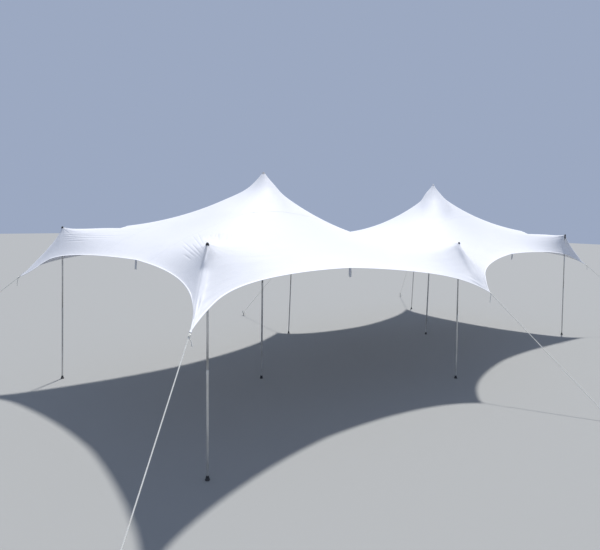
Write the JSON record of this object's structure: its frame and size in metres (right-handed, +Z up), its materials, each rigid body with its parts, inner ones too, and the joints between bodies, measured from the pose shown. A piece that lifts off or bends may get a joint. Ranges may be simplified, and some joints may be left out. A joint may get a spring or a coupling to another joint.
{
  "type": "stretch tent",
  "caption": "Open-sided stretch tent: one elastic white canopy drawn over side poles and taller centre poles, its tips tied down to ground stakes by guy ropes.",
  "frame": {"origin": "middle of the tent's plan, at ground level under the pole feet", "axes": "+X along the long side from the left end to the right end, +Y from the front long side to the back one, +Z up"},
  "size_m": [14.0438, 8.9228, 3.5225],
  "materials": {
    "fabric": "matt white elastic fabric with a coated face",
    "webbing": "matt woven webbing",
    "rope": "matt braided rope",
    "pole": "satin, dulled by use",
    "rubber": "matt black",
    "stake": "worn, galvanised"
  },
  "bodies": {
    "root": {"canopy_front_left_end": "fabric", "canopy_front_left_centre": "fabric", "canopy_front_right_centre": "fabric", "canopy_front_right_end": "fabric", "canopy_middle_left_end": "fabric", "canopy_middle_left_centre": "fabric", "canopy_middle_right_centre": "fabric", "canopy_middle_right_end": "fabric", "canopy_back_left_end": "fabric", "canopy_back_left_centre": "fabric", "canopy_back_right_centre": "fabric", "canopy_back_right_end": "fabric", "front_left_pole": "pole", "front_middle_pole": "pole", "front_right_pole": "pole", "back_left_pole": "pole", "back_middle_pole": "pole", "back_right_pole": "pole", "centre_left_pole": "pole", "centre_right_pole": "pole", "front_left_foot": "rubber", "front_middle_foot": "rubber", "front_right_foot": "rubber", "back_left_foot": "rubber", "back_middle_foot": "rubber", "back_right_foot": "rubber", "centre_left_foot": "rubber", "centre_right_foot": "rubber", "front_left_head_cap": "rubber", "front_middle_head_cap": "rubber", "front_right_head_cap": "rubber", "back_left_head_cap": "rubber", "back_middle_head_cap": "rubber", "back_right_head_cap": "rubber", "front_left_guy_rope": "rope", "front_middle_guy_rope": "rope", "front_right_guy_rope": "rope", "back_left_guy_rope": "rope", "back_middle_guy_rope": "rope", "back_right_guy_rope": "rope", "front_left_stake": "stake", "front_middle_stake": "stake", "front_right_stake": "stake", "back_left_stake": "stake", "back_middle_stake": "stake", "back_right_stake": "stake", "left_side_strap": "webbing", "right_side_strap": "webbing", "front_left_strap": "webbing", "front_right_strap": "webbing", "back_left_strap": "webbing", "back_right_strap": "webbing"}
  },
  "joints": []
}
